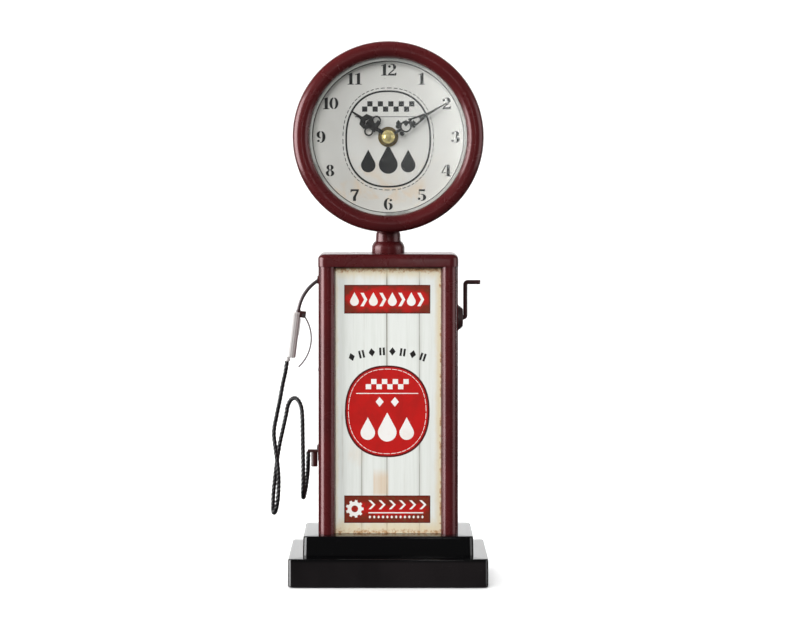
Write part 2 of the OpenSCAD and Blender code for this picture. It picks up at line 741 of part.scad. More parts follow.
// ---- Nozzle ----
module spout_shape() {
    translate([bend_cx, 0, bend_cz]) across() rotate([0, 0, spout_from - 90])
        rotate_extrude(angle = spout_to - spout_from) translate([spout_bend_r, 0]) circle(spout_r);
    translate([-side_x, 0, spout_z]) rotate([0, 270 - spout_from, 0]) translate([0, 0, -1])
        cylinder(r = collar_r, h = 3.6);
    at_nozzle() translate([0, 0, -collar_in]) cylinder(r = collar_r, h = collar_in + 1);
}

module nozzle_spout() color([0.45, 0.45, 0.48]) spout_shape();

module spout_grommet() color([0.3, 0.1, 0.1]) difference() {
    translate([-side_x - 1.2, 0, spout_z]) rotate([0, 90, 0]) cylinder(r = 2.6, h = 1.2);
    translate([-side_x, 0, spout_z]) rotate([0, 270 - spout_from, 0])
        cylinder(r = collar_r + 0.1, h = 12, center = true);
}

module nozzle_body() color([0.85, 0.85, 0.86]) at_nozzle() difference() {
    union() {
        translate([barrel_x, 0, barrel_top - barrel_len]) {
            cylinder(r = barrel_r, h = barrel_len - 0.6);
            translate([0, 0, barrel_len - 0.6]) cylinder(r1 = barrel_r, r2 = barrel_r - 0.6, h = 0.6);
            translate([0, 0, -0.4]) cylinder(r = barrel_r - 0.5, h = 1);
        }
        translate([barrel_x + barrel_r - 1, -1, -15]) cube([1.5, 2, 10.5]);
    }
    translate([0, 0, -collar_in]) cylinder(r = collar_r, h = 10);
}

module hose_ferrule() steel() at_nozzle()
    translate([ferrule_x, 0, barrel_top - barrel_len - 0.4 - ferrule_len]) {
        cylinder(r = ferrule_r - 0.4, h = ferrule_len);
        translate([0, 0, 0.5]) cylinder(r = ferrule_r, h = 0.7);
    }

module lever_yoke() color([0.4, 0.1, 0.1]) at_nozzle() difference() {
    union() {
        translate([barrel_x + barrel_r - 2, -1.85, -0.3]) cube([5.2, 3.7, 0.8]);
        for (y = [-1.85, 1.25]) translate([barrel_x + barrel_r - 1.4, y, pin_z - 1.6])
            cube([4.6, 0.6, 1.6 - pin_z]);
    }
    translate([barrel_x, 0, -10]) cylinder(r = barrel_r, h = 10 + barrel_top);
    translate([0, 0, -collar_in]) cylinder(r = collar_r, h = 10);
    translate([pin_x, 0, pin_z]) across() cylinder(r = pin_r, h = 8, center = true);
}

module lever_pin() steel() at_nozzle() translate([pin_x, 0, pin_z]) across() {
    cylinder(r = pin_r, h = 4.4, center = true);
    for (z = [-2.5, 1.9]) translate([0, 0, z]) cylinder(r = 1.1, h = 0.6);
}

module trigger_lever() steel() at_nozzle() difference() {
    union() {
        translate([pin_x - lever_bend_r * cos(lever_from), 0, pin_z - lever_bend_r * sin(lever_from)])
            across() rotate([0, 0, lever_to]) rotate_extrude(angle = lever_from - lever_to)
                translate([lever_bend_r - lever_t / 2, -lever_w / 2]) square([lever_t, lever_w]);
        translate([pin_x, 0, pin_z]) across() cylinder(r = eye_r, h = lever_w, center = true);
    }
    translate([pin_x, 0, pin_z]) across() cylinder(r = pin_r + run, h = 8, center = true);
}

// ---- Hose ----
module hose_outlet() color([0.32, 0.09, 0.1]) difference() {
    union() {
        translate([-side_x - arm_len, -arm_w / 2, outlet_z - arm_t / 2]) cube([arm_len, arm_w, arm_t]);
        translate([-side_x - outlet_flange_t, -4.4, outlet_z - 6]) cube([outlet_flange_t, 8.8, 10]);
        translate([-side_x - outlet_barrel_out, 0, outlet_z - arm_t / 2 - outlet_barrel_down])
            cylinder(r = outlet_barrel_r, h = outlet_barrel_down + 0.4);
    }
    rivet_points() cylinder(r = rivet_r + hole_gap, h = side_t + outlet_flange_t + 1);
}

// The places of the rivets on the left side: one alone, and two through the outlet's flange
module rivet_points() for (y = [-2.8, 2.8])
    translate([-cab_w / 2, y, outlet_z + 2.4]) rotate([0, -90, 0]) children();
module dot_point() translate([-cab_w / 2, 0, cab_z + dot_up]) rotate([0, -90, 0]) children();

module rivet(grip) {
    translate([0, 0, -1]) cylinder(r = rivet_r, h = 1.2 + grip);
    translate([0, 0, grip]) cylinder(r1 = rivet_r + 0.7, r2 = rivet_r + 0.1, h = 0.7);
}

module side_rivets() color([0.32, 0.09, 0.1]) {
    rivet_points() rivet(side_t + outlet_flange_t);
    dot_point() rivet(side_t);
}

function unit(v) = v / norm(v);
function along(i) = unit(HOSE[min(i + 1, len(HOSE) - 1)] - HOSE[max(i - 1, 0)]);
function ring(i) = let (t = along(i), n = unit([1, 0, 0] - t[0] * t), b = cross(t, n))
    [for (k = [0:hose_sides - 1]) let (a = 360 * k / hose_sides)
        HOSE[i] + hose_r * (cos(a) * n + sin(a) * b)];

module hose() color([0.08, 0.08, 0.09]) {
    rings = len(HOSE);
    polyhedron(points = [for (i = [0:rings - 1]) each ring(i)],
        faces = concat(
            [[for (k = [0:hose_sides - 1]) k]],
            [for (i = [0:rings - 2], k = [0:hose_sides - 1])
                [i * hose_sides + k, (i + 1) * hose_sides + k,
                 (i + 1) * hose_sides + (k + 1) % hose_sides, i * hose_sides + (k + 1) % hose_sides]],
            [[for (k = [hose_sides - 1:-1:0]) (rings - 1) * hose_sides + k]]));
}

felt_pad();
base_plate();
plinth_pan();
step_pan();
tie_screws();
cabinet_floor();
side_left();
side_right();
column_left();
column_right();
front_panel();
back_panel();
back_panel_screws();
cabinet_roof();
top_cap();
neck_cup_lower();
neck_cup_upper();
neck_stud();
neck_nuts();
drum_shell();
bezel_ring();
glass_lens();
dial_spacer();
dial_plate();
back_cover();
cover_screws();
hour_hand();
minute_hand();
cap_nut();
mounting_nut();
mounting_washer();
rubber_washer();
movement_front();
movement_back();
movement_plate();
hour_wheel();
centre_pinion();
motion_wheel();
set_knob();
centre_wheel();
third_wheel();
step_rotor();
stator();
coil();
circuit_board();
battery();
battery_contacts();
crank_boss();
crank_handle();
crank_push_nut();
nozzle_body();
nozzle_spout();
spout_grommet();
trigger_lever();
lever_pin();
lever_yoke();
hose_ferrule();
hose_outlet();
side_rivets();
hose();
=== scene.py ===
"""Looks of the petrol-pump table clock: its paint, print, glass, brass and twisted hose."""
import json
import math

import bmesh
import bpy
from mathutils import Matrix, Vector
from mathutils.geometry import tessellate_polygon


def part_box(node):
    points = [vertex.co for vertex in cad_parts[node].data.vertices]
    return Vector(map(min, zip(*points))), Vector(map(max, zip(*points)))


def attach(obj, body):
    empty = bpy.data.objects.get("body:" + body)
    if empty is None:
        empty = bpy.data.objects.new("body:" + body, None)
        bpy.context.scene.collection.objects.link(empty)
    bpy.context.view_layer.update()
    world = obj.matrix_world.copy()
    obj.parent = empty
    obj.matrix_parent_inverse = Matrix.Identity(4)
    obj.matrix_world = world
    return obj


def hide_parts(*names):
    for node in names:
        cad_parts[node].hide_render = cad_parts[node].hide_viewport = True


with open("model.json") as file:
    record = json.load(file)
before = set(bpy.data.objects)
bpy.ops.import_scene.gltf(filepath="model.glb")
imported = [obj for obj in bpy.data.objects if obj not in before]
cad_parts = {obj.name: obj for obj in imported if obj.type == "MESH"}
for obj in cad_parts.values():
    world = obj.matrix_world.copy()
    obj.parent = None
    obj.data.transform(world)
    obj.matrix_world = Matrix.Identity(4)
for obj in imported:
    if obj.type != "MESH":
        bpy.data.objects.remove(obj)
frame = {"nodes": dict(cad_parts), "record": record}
bpy.context.view_layer.update()
NODES = frame["nodes"]
MM = 0.001


# ---------------------------------------------------------------- camera
EYE = Vector((0.0, -1.645, 0.256))
FILM_WIDTH = 36
FOCAL_IN_WIDTHS = 3.293
HORIZON_RISE = 0.179
SIDE_SHIFT = 0.0061

eye = bpy.data.objects.new("eye", bpy.data.cameras.new("eye"))
eye.data.sensor_width = FILM_WIDTH
eye.data.lens = FOCAL_IN_WIDTHS * FILM_WIDTH
eye.data.shift_y = -HORIZON_RISE
eye.data.shift_x = SIDE_SHIFT
eye.data.clip_start = 0.05
eye.data.clip_end = 30
eye.location = EYE
eye.rotation_euler = (math.pi / 2, 0, 0)
bpy.context.scene.collection.objects.link(eye)
bpy.context.scene.camera = eye
bpy.context.scene.view_settings.view_transform = "Standard"


# ---------------------------------------------------------------- mesh helpers
def new_piece(name, verts, faces, finish=None, body="root", smooth=35):
    """A mesh piece in metres that rides on a body; edges flatter than smooth degrees shade as one."""
    mesh = bpy.data.meshes.new(name)
    mesh.from_pydata([tuple(v) for v in verts], [], faces)
    mesh.validate()
    bm = bmesh.new()
    bm.from_mesh(mesh)
    bmesh.ops.recalc_face_normals(bm, faces=bm.faces)
    bm.to_mesh(mesh)
    bm.free()
    mesh.shade_smooth()
    mesh.set_sharp_from_angle(angle=math.radians(smooth))
    piece = bpy.data.objects.new(name, mesh)
    bpy.context.scene.collection.objects.link(piece)
    if finish is not None:
        mesh.materials.append(finish)
    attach(piece, body)
    return piece


def loft(rings):
    """Vertices and faces through rings of equal length, each closed on itself, with both ends capped."""
    n = len(rings[0])
    verts = [p for r in rings for p in r]
    faces = []
    for i in range(len(rings) - 1):
        for k in range(n):
            j = (k + 1) % n
            faces.append((i * n + k, i * n + j, (i + 1) * n + j, (i + 1) * n + k))
    faces.append(tuple(range(n)))
    faces.append(tuple((len(rings) - 1) * n + k for k in range(n)))
    return verts, faces


def smooth_path(points, step):
    """Points a step apart along a centripetal curve through the given ones."""
    pts = [Vector(p) for p in points]
    pts = [2 * pts[0] - pts[1]] + pts + [2 * pts[-1] - pts[-2]]
    out = []
    for a, b, c, d in zip(pts, pts[1:], pts[2:], pts[3:]):
        t1 = (b - a).length ** 0.5
        t2 = t1 + (c - b).length ** 0.5
        t3 = t2 + (d - c).length ** 0.5
        count = max(2, round((c - b).length / step))
        for i in range(count):
            t = t1 + (t2 - t1) * i / count
            p1 = a + (b - a) * (t / t1)
            p2 = b + (c - b) * ((t - t1) / (t2 - t1))
            p3 = c + (d - c) * ((t - t2) / (t3 - t2))
            q1 = p1 + (p2 - p1) * (t / t2)
            q2 = p2 + (p3 - p2) * ((t - t1) / (t3 - t1))
            out.append(q1 + (q2 - q1) * ((t - t1) / (t2 - t1)))
    out.append(pts[-2])
    return out


def carried_frames(path):
    """(point, normal, binormal) along a path, turned as little as possible from point to point."""
    frames = []
    normal = Vector((1, 0, 0))
    for i, p in enumerate(path):
        t = (path[min(i + 1, len(path) - 1)] - path[max(i - 1, 0)]).normalized()
        normal = (normal - t * normal.dot(t)).normalized()
        frames.append((p, normal, t.cross(normal)))
    return frames


# ---------------------------------------------------------------- hose
HOSE_ROUTE = [
    (-50.7, 0, 79.9), (-50.9, 0.6, 74), (-51.2, 4.2, 67.5), (-51.9, 7.6, 61), (-52.7, 6.4, 55),
    (-53.3, 2.6, 52), (-53.7, -2, 51), (-53.8, -6.6, 52), (-53.8, -10.4, 55), (-53.6, -12, 61),
    (-53.6, -12, 72), (-53.8, -12, 83), (-54, -11.8, 94), (-54.2, -11.3, 103),
    (-54.8, -10, 108.5), (-56.6, -6.4, 112.5), (-59.2, -1.5, 114), (-61.9, 3.4, 112.5),
    (-64, 7, 108.5), (-65.1, 8.6, 103), (-67.1, 9.4, 94), (-69.5, 10, 83), (-71.2, 10, 72),
    (-72.5, 10, 61), (-73.4, 10, 51), (-73.5, 8.4, 45), (-73.3, 4.6, 42), (-72.7, 0, 41),
    (-71.8, -4.6, 42), (-70.7, -8.4, 45), (-69.7, -10, 51), (-69.2, -10, 61), (-69.8, -9.6, 72),
    (-71.3, -8.8, 83), (-72.3, -7.2, 93), (-70.7, -5, 103), (-68.7, -2.8, 113), (-66.9, -1.2, 123),
    (-65.2, -0.2, 131), (-64.2, 0, 137.8),
]
HOSE_R = 1.385 * MM
HOSE_STRANDS = 3
HOSE_LAY = 8.4 * MM
HOSE_STEP = 0.42 * MM
HOSE_ROUND = 24
HOSE_VALLEY = 0.58


def twisted_hose(name, finish):
    """A hose of three strands laid round each other: lobes that turn once in each lay length."""
    path = smooth_path([Vector(p) * MM for p in HOSE_ROUTE], HOSE_STEP)
    rings, run = [], 0.0
    for i, (p, n, b) in enumerate(carried_frames(path)):
        run += (p - path[i - 1]).length if i else 0
        turn = 2 * math.pi * run / HOSE_LAY
        ring = []
        for k in range(HOSE_ROUND):
            a = 2 * math.pi * k / HOSE_ROUND
            lobe = abs(math.cos(HOSE_STRANDS * (a - turn) / 2))
            r = HOSE_R * (HOSE_VALLEY + (1 - HOSE_VALLEY) * lobe ** 0.6)
            ring.append(p + r * (math.cos(a) * n + math.sin(a) * b))
        rings.append(ring)
    hose = new_piece(name, *loft(rings), finish=finish, smooth=60)
    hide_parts("hose")
    length = sum((b - a).length for a, b in zip(path, path[1:]))
    return hose


# ---------------------------------------------------------------- finishes
def srgb(r, g, b):
    """A linear colour from the 0 to 255 values of a colour picker."""
    def lin(c):
        c /= 255
        return c / 12.92 if c <= 0.04045 else ((c + 0.055) / 1.055) ** 2.4
    return (lin(r), lin(g), lin(b), 1.0)


class Val:
    """One output socket; arithmetic on it adds the Math nodes."""

    def __init__(self, finish, socket):
        self.finish, self.socket = finish, socket

    def _op(self, op, *others, clamp=False):
        return self.finish.node("ShaderNodeMath", {"operation": op, "use_clamp": clamp},
                                {i: v for i, v in enumerate(others)})

    def __add__(self, o): return self._op("ADD", self, o)
    def __radd__(self, o): return self._op("ADD", o, self)
    def __sub__(self, o): return self._op("SUBTRACT", self, o)
    def __rsub__(self, o): return self._op("SUBTRACT", o, self)
    def __mul__(self, o): return self._op("MULTIPLY", self, o)
    def __rmul__(self, o): return self._op("MULTIPLY", o, self)
    def __truediv__(self, o): return self._op("DIVIDE", self, o)
    def __pow__(self, o): return self._op("POWER", self, o)
    def __abs__(self): return self._op("ABSOLUTE", self)
    def sine(self): return self._op("SINE", self)
    def clamped(self): return self._op("ADD", self, 0.0, clamp=True)
    def most(self, o): return self._op("MAXIMUM", self, o)

    def step(self, lo, hi):
        """0 below lo, 1 above hi, smooth between; lo may be above hi."""
        return self.finish.node("ShaderNodeMapRange", {"interpolation_type": "SMOOTHSTEP"},
                                {"Value": self, "From Min": lo, "From Max": hi})


class Finish:
    """A procedural material under construction."""

    def __init__(self, name):
        self.mat = bpy.data.materials.new(name)
        self.mat.use_nodes = True
        self.tree = self.mat.node_tree
        self.tree.nodes.clear()
        self.out = self.tree.nodes.new("ShaderNodeOutputMaterial")
        coords = self.tree.nodes.new("ShaderNodeTexCoord")
        self.place = Val(self, coords.outputs["Object"])
        x, y, z = self.parts(self.place)
        self.x, self.y, self.z = x, y, z

    def node(self, kind, settings=None, sockets=None, out=0):
        """Adds a node: its settings first, then the value or link of each named or numbered socket."""
        n = self.tree.nodes.new(kind)
        for key, value in (settings or {}).items():
            if key == "stops":
                ramp = n.color_ramp
                while len(ramp.elements) < len(value):
                    ramp.elements.new(0.5)
                for e, (at, colour) in zip(ramp.elements, value):
                    e.position, e.color = at, colour
            else:
                setattr(n, key, value)
        for key, value in (sockets or {}).items():
            if isinstance(value, Val):
                self.tree.links.new(value.socket, n.inputs[key])
            else:
                n.inputs[key].default_value = value
        return Val(self, n.outputs[out])

    def parts(self, vector):
        n = self.tree.nodes.new("ShaderNodeSeparateXYZ")
        self.tree.links.new(vector.socket, n.inputs[0])
        return [Val(self, n.outputs[i]) for i in range(3)]

    def stretched(self, sx, sy, sz):
        """Object coordinates scaled along each axis, for grain that runs one way."""
        return self.node("ShaderNodeVectorMath", {"operation": "MULTIPLY"},
                         {0: self.place, 1: (sx, sy, sz)})

    def noise(self, scale, detail=3.0, rough=0.5, warp=0.0, at=None):
        return self.node("ShaderNodeTexNoise", {"noise_dimensions": "3D"},
                         {"Vector": at or self.place, "Scale": scale, "Detail": detail,
                          "Roughness": rough, "Distortion": warp})

    def cells(self, scale):
        return self.node("ShaderNodeTexVoronoi", {"feature": "F1"}, {"Vector": self.place, "Scale": scale})

    def mix(self, factor, a, b):
        """Colours a and b mixed by factor."""
        n = self.tree.nodes.new("ShaderNodeMix")
        n.data_type = "RGBA"
        for index, value in ((0, factor), (6, a), (7, b)):
            if isinstance(value, Val):
                self.tree.links.new(value.socket, n.inputs[index])
            else:
                n.inputs[index].default_value = value
        return Val(self, n.outputs[2])

    def edges(self, radius):
        """1 on convex and concave edges within radius, 0 on flats."""
        soft = self.node("ShaderNodeBevel", {"samples": 4}, {"Radius": radius})
        flat = self.tree.nodes.new("ShaderNodeNewGeometry")
        dot = self.tree.nodes.new("ShaderNodeVectorMath")
        dot.operation = "DOT_PRODUCT"
        self.tree.links.new(soft.socket, dot.inputs[0])
        self.tree.links.new(flat.outputs["Normal"], dot.inputs[1])
        return (1.0 - Val(self, dot.outputs["Value"])).step(0.002, 0.12)

    def bump(self, height, strength, distance, round_edges=0.0):
        sockets = {"Height": height, "Strength": strength, "Distance": distance}
        if round_edges:
            sockets["Normal"] = self.node("ShaderNodeBevel", {"samples": 4}, {"Radius": round_edges})
        return self.node("ShaderNodeBump", {}, sockets)

    def surface(self, **sockets):
        """Ends the material in one Principled shader with these sockets."""
        named = {k.replace("_", " "): v for k, v in sockets.items()}
        shader = self.node("ShaderNodeBsdfPrincipled", {}, named)
        self.tree.links.new(shader.socket, self.out.inputs["Surface"])
        return self.mat


def enamel(name, colour, deep, rough, coat, edge_colour=None, round_edges=0.35 * MM,
           sheen_tint=(1, 1, 1, 1)):
    """Sprayed paint on pressed steel: slow tone drift, fine orange peel, dust, and rubbed edges."""
    f = Finish(name)
    drift = f.noise(28, 4, 0.6).step(0.3, 0.72)
    base = f.mix(drift, colour, deep)
    peel = f.noise(900, 2, 0.5)
    fine = f.noise(3800, 2, 0.6)
    dust = f.cells(700).step(0.16, 0.04) * f.noise(160, 2).step(0.52, 0.66)
    base = f.mix(dust * 0.175, base, srgb(150, 120, 118))
    if edge_colour is not None:
        rub = (f.edges(0.7 * MM) * f.noise(420, 4, 0.7).step(0.5, 0.72)).clamped()
        base = f.mix(rub * 0.7, base, edge_colour)
    smear = f.noise(55, 5, 0.65, 0.4)
    return f.surface(
        Base_Color=base, Roughness=(rough + (smear - 0.5) * 0.14 + dust * 0.15).clamped(),
        Coat_Weight=coat, Coat_Roughness=0.12, Specular_IOR_Level=0.62, Specular_Tint=sheen_tint,
        Normal=f.bump(peel * 0.7 + fine * 0.3, 0.22, 0.05 * MM, round_edges))


def gloss_black():
    """Thick gloss black with a faint wave, hairline scratches, dust specks, and a painted reflection of the
    floor: the plinth's face is a cloudy lighter grey below the step.
    """
    f = Finish("gloss_black_paint")
    wave = f.noise(60, 2, 0.4)
    peel = f.noise(420, 2, 0.5)
    scratch = f.noise(240, 3, 0.7, 0, f.stretched(1, 9, 9)).step(0.66, 0.72)
    dust = f.cells(520).step(0.12, 0.03) * f.noise(120, 2).step(0.5, 0.7)
    plinth = f.z.step(17.4 * MM, 15.0 * MM)
    # Painted reflection: the plinth's face is coloured a cloudy lighter grey, standing in for the floor
    # mirrored in the gloss.
    bloom = plinth * f.noise(14, 4, 0.6, 0, f.stretched(1, 1, 0.5)).step(0.2, 0.7)
    base = f.mix(bloom * 0.85, srgb(5, 5, 6), srgb(33, 29, 30))
    base = f.mix(dust * 0.22 + scratch * 0.05, base, srgb(104, 102, 104))
    return f.surface(
        Base_Color=base, Roughness=(0.07 + wave * 0.06 + dust * 0.25 + scratch * 0.12).clamped(),
        Normal=f.bump(wave * 0.5 + peel * 0.5, 0.1, 0.06 * MM, 0.4 * MM))


def metal(name, colour, rough, tarnish, amount=0.4, bare=1.0):
    """Metal that is bare or lacquered, with a fine grain, smudges and tarnish."""
    f = Finish(name)
    brush = f.noise(500, 4, 0.65)
    smudge = f.noise(90, 4, 0.6, 0.6).step(0.42, 0.75)
    base = f.mix(smudge * amount, colour, tarnish)
    return f.surface(
        Base_Color=base, Metallic=bare, Roughness=(rough + (brush - 0.5) * 0.2 + smudge * 0.12).clamped(),
        Normal=f.bump(brush, 0.18, 0.02 * MM, 0.15 * MM))


def ribbed_cast():
    """Satin plated casting, with shallow ribs along the right half of the leaning barrel; the same bands are
    painted darker grey, a painted reflection of a round plated barrel's shaded right side.
    """
    f = Finish("silver_cast")
    lo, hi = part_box("nozzle_body")
    mid = (lo + hi) / 2
    lean = math.radians(7)
    c, s = math.cos(lean), math.sin(lean)
    across = f.x * c - f.z * s - (mid.x * c - mid.z * s)
    rib_pitch = 1.3 * MM
    ribs_and_painted_reflection = (across * (2 * math.pi / rib_pitch)).sine().step(-0.2, 0.9) * across.step(-0.1 * MM, 0.3 * MM)
    brush = f.noise(500, 4, 0.65, 0, f.stretched(1, 1, 0.3))
    smudge = f.noise(90, 4, 0.6, 0.6).step(0.42, 0.75)
    base = f.mix(smudge * 0.3, srgb(232, 229, 227), srgb(204, 201, 199))
    # Painted reflection: the ribbed right half is coloured in darker grey bands, standing in for the mirrored
    # stripes on a round plated barrel.
    base = f.mix(ribs_and_painted_reflection * 0.6, base, srgb(146, 138, 137))
    return f.surface(
        Base_Color=base, Metallic=0.15, Roughness=(0.42 + (brush - 0.5) * 0.2 + smudge * 0.12).clamped(),
        Normal=f.bump(brush * 0.3 - ribs_and_painted_reflection, 0.3, 0.12 * MM, 0.15 * MM))


def moulded(name, colour, rough, speckle=None):
    """Moulded plastic with a fine spark-eroded grain and faint handling marks."""
    f = Finish(name)
    grit = f.noise(1400, 3, 0.6)
    marks = f.noise(45, 4, 0.6, 0.3)
    paler = speckle or tuple(min(1, c * 1.6 + 0.01) for c in colour[:3]) + (1,)
    tone = f.mix(marks.step(0.35, 0.8) * 0.35, colour, paler)
    return f.surface(
        Base_Color=tone, Roughness=(rough + (marks - 0.5) * 0.12 + (grit - 0.5) * 0.1).clamped(),
        Normal=f.bump(grit, 0.3, 0.04 * MM, 0.25 * MM))


def hose_rubber():
    """Black rubber with a fine grain and a little bloom."""
    f = Finish("hose_rubber")
    grain = f.noise(2600, 3, 0.6)
    bloom = f.noise(120, 4, 0.6).step(0.5, 0.8)
    return f.surface(
        Base_Color=f.mix(bloom * 0.35, srgb(20, 19, 21), srgb(58, 54, 56)),
        Roughness=(0.3 + bloom * 0.15 + (grain - 0.5) * 0.2).clamped(),
        Normal=f.bump(grain, 0.35, 0.05 * MM))


def felt():
    """Dark felt under the base."""
    f = Finish("felt")
    fibre = f.noise(2200, 5, 0.75, 1.5)
    return f.surface(Base_Color=f.mix(fibre, srgb(18, 18, 19), srgb(46, 45, 46)), Roughness=0.95,
                     Sheen_Weight=0.4, Normal=f.bump(fibre, 0.8, 0.15 * MM))


def lens_glass():
    """Thin clear glass: see-through, with a mirror share that grows at grazing angles and faint dust."""
    f = Finish("lens_glass")
    clear = f.node("ShaderNodeBsdfTransparent", {}, {"Color": (0.985, 0.99, 0.985, 1)})
    gloss = f.node("ShaderNodeBsdfPrincipled", {}, {
        "Base Color": (0.94, 0.97, 0.96, 1), "Roughness": 0.15, "Specular IOR Level": 0.5,
        "Metallic": 1.0})
    facing = f.node("ShaderNodeLayerWeight", {}, {"Blend": 0.5}, out=1)
    share = facing ** 5.0 * 0.96 + 0.04
    dust = f.noise(900, 3, 0.7).step(0.62, 0.85) * 0.02
    both = f.node("ShaderNodeMixShader", {}, {0: (share * 0.9 + dust).clamped(), 1: clear, 2: gloss})
    f.tree.links.new(both.socket, f.out.inputs["Surface"])
    return f.mat


PANEL_LO, PANEL_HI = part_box("front_panel")
PANEL_H = PANEL_HI.z - PANEL_LO.z
COLUMN_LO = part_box("column_left")[0]
COLUMN_W = 2 * (PANEL_LO.y - 0.3 * MM - COLUMN_LO.y)
PRINT_HALF = -COLUMN_LO.x - COLUMN_W
PRINT_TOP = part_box("top_cap")[0].z
DIAL_LO, DIAL_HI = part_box("dial_plate")
DIAL_C = (DIAL_LO + DIAL_HI) / 2


def printed_planks():
    """White-washed boards printed on tin: grain, dark joints, rust that eats in from the rims, and a painted
    shadow of the cap along the top edge.
    """
    f = Finish("printed_tin")
    grain = f.noise(420, 5, 0.65, 0.2, f.stretched(1, 1, 0.05))
    broad = f.noise(34, 4, 0.6, 0.4, f.stretched(1, 1, 0.3))
    base = f.mix(grain.step(0.35, 0.75) * 0.5, srgb(240, 243, 238), srgb(222, 226, 218))
    base = f.mix(broad.step(0.56, 0.8) * 0.5, base, srgb(230, 224, 204))
    streak = f.noise(300, 3, 0.7, 0, f.stretched(1, 1, 0.025)).step(0.6, 0.74)
    base = f.mix(streak * f.noise(40, 3).step(0.42, 0.68) * 0.5, base, srgb(172, 164, 146))
    ragged = f.noise(150, 6, 0.7, 0.5)
    fine = f.noise(620, 5, 0.75)
    up = f.z - PANEL_LO.z

    def joint(at, strength, reach):
        sway = (f.noise(30, 2, 0.5, 0, f.stretched(0.2, 1, 1)) - 0.5) * 0.4 * MM
        gap = abs(f.x - at + sway)
        broken = f.noise(90, 3, 0.6, 0, f.stretched(1, 1, 0.4)).step(0.3, 0.52) * 0.6 + 0.4
        line = gap.step(0.42 * MM, 0.1 * MM) * broken * strength
        return (line + gap.step(2.4 * MM, 0.2 * MM) * 0.16) * reach

    lower_half = up.step(0.62 * PANEL_H, 0.5 * PANEL_H)
    joints = joint(-0.8 * MM, 0.85, 1.0).most(joint(19.6 * MM, 0.5, 1.0))
    joints = joints.most(joint(-16.6 * MM, 0.5, lower_half))
    base = f.mix(joints, base, srgb(108, 96, 80))
    one_board = f.x.step(-9.6 * MM, -9.0 * MM) * f.x.step(0.6 * MM, -0.4 * MM)
    patch = one_board * up.step(42 * MM, 34 * MM) * up.step(22 * MM, 26 * MM) * (grain * 0.9 + 0.35)
    stain = f.noise(38, 4, 0.55, 0.2, f.stretched(1, 1, 0.6)).step(0.52, 0.7) * 0.5
    peach = (stain + patch) * up.step(0.4 * PANEL_H, 0.24 * PANEL_H)
    base = f.mix(peach.clamped() * 0.62, base, srgb(228, 194, 154))
    runs = f.noise(170, 5, 0.7, 0.3, f.stretched(1, 1, 0.3))
    wander = (ragged * 0.5 + runs * 0.5 - 0.5) * 3.2
    top_in = PRINT_TOP - f.z + wander * 3.0 * MM
    right_in = PRINT_HALF - f.x + wander * 1.6 * MM
    left_in = PRINT_HALF + f.x + wander * 1.6 * MM
    cream = top_in.step(9.5 * MM, 2.0 * MM).most(right_in.step(5.0 * MM, 1.0 * MM)).most(
        left_in.step(2.4 * MM, 0.4 * MM) * 0.6).most((up + wander * 5 * MM).step(13 * MM, 2 * MM))
    base = f.mix(cream * 0.75, base, srgb(232, 214, 172))
    orange = (top_in.step(8.0 * MM, 0.4 * MM) * (0.25 + runs * 1.0)).most(
        right_in.step(2.6 * MM, 0.3 * MM) * (ragged.step(0.3, 0.7) * 0.55 + 0.2)).most(
        (up + wander * 3.4 * MM).step(7.0 * MM, 0.5 * MM) * (0.15 + runs * 0.85))
    broken_edge = (orange + (fine - 0.5) * 1.3 + (ragged - 0.5) * 1.5).step(0.42, 0.72)
    rust = broken_edge * orange.step(0.08, 0.3)
    base = f.mix(rust * 0.72, base, srgb(194, 134, 74))
    dark = (orange * fine).step(0.27, 0.4) * ragged.step(0.42, 0.58)
    base = f.mix(dark * 0.75, base, srgb(112, 66, 38))
    # Painted shadow: a dark brown band just under the cap, standing in for the shadow the cap casts on the
    # panel's top edge.
    painted_cap_shadow = (PRINT_TOP - f.z).step(1.7 * MM, 0.5 * MM)
    base = f.mix(painted_cap_shadow * 0.9, base, srgb(70, 38, 30))
    return f.surface(
        Base_Color=base, Roughness=(0.4 + rust * 0.25 + (grain - 0.5) * 0.1).clamped(),
        Coat_Weight=0.2, Coat_Roughness=0.2,
        Normal=f.bump(grain * 0.3 + rust * 0.5, 0.18, 0.05 * MM))


def dial_paper():
    """Aged off-white dial print with soft rose, grey and tan stains."""
    f = Finish("dial_print")
    cloud = f.noise(38, 5, 0.6, 0.5)
    fine = f.noise(240, 5, 0.7)
    base = f.mix(cloud.step(0.35, 0.75) * 0.6, srgb(229, 227, 224), srgb(214, 211, 208))
    rose = f.noise(24, 4, 0.6, 0.3, f.stretched(1, 1, 0.7)).step(0.55, 0.76)
    base = f.mix(rose * 0.4, base, srgb(232, 208, 192))
    low = (f.z - (DIAL_C.z - 0.022)).step(0.014, -0.012)
    base = f.mix(low * 0.3, base, srgb(204, 198, 192))
    patch = f.noise(62, 5, 0.65, 0.4).step(0.5, 0.66) * low
    base = f.mix(patch * 0.6, base, srgb(228, 202, 172))
    crack = f.noise(330, 4, 0.8, 0.8).step(0.66, 0.72) * cloud.step(0.45, 0.62)
    base = f.mix(crack * 0.45, base, srgb(150, 138, 128))
    spot = f.cells(190).step(0.1, 0.03) * fine.step(0.5, 0.62)
    base = f.mix(spot * 0.7, base, srgb(120, 90, 66))
    return f.surface(Base_Color=base, Roughness=(0.55 + (fine - 0.5) * 0.2).clamped(),
                     Normal=f.bump(fine, 0.12, 0.05 * MM))


